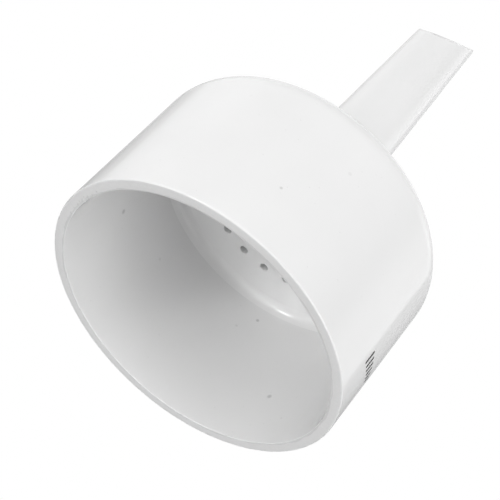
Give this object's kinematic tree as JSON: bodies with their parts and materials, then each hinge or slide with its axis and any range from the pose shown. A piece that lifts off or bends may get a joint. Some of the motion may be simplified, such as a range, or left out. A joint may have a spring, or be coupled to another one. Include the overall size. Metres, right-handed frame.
{
  "type": "buchner funnel",
  "caption": "Glazed porcelain Buchner funnel: deep cup with a fixed perforated plate, shallow hopper and tapered stem with a slanted tip.",
  "frame": {"origin": "on the funnel's axis, at the level where a rubber stopper or cone grips the stem, 118 mm below the rim", "axes": "+Z along the axis, up out of the mouth; -Y is the front, towards the stem's shorter side; +X to the right"},
  "size_m": [0.108, 0.108, 0.1883],
  "materials": {
    "porcelain_body": "clear gloss glaze, the rim left unglazed and matt",
    "porcelain_plate": "clear gloss glaze, softened round each hole",
    "slip_cove": "clear gloss glaze pooled in the cove",
    "porcelain_hopper": "clear gloss glaze",
    "slip_lap": "clear gloss glaze",
    "porcelain_stem": "clear gloss glaze",
    "slip_fillet": "clear gloss glaze",
    "fired_print": "dark grey ceramic colour fired into the glaze"
  },
  "bodies": {
    "root": {"bowl_wall": "porcelain_body", "filter_plate": "porcelain_plate", "plate_seal": "slip_cove", "hopper_cone": "porcelain_hopper", "hopper_seal": "slip_lap", "stem": "porcelain_stem", "stem_seal": "slip_fillet", "printed_mark": "fired_print"}
  },
  "joints": []
}
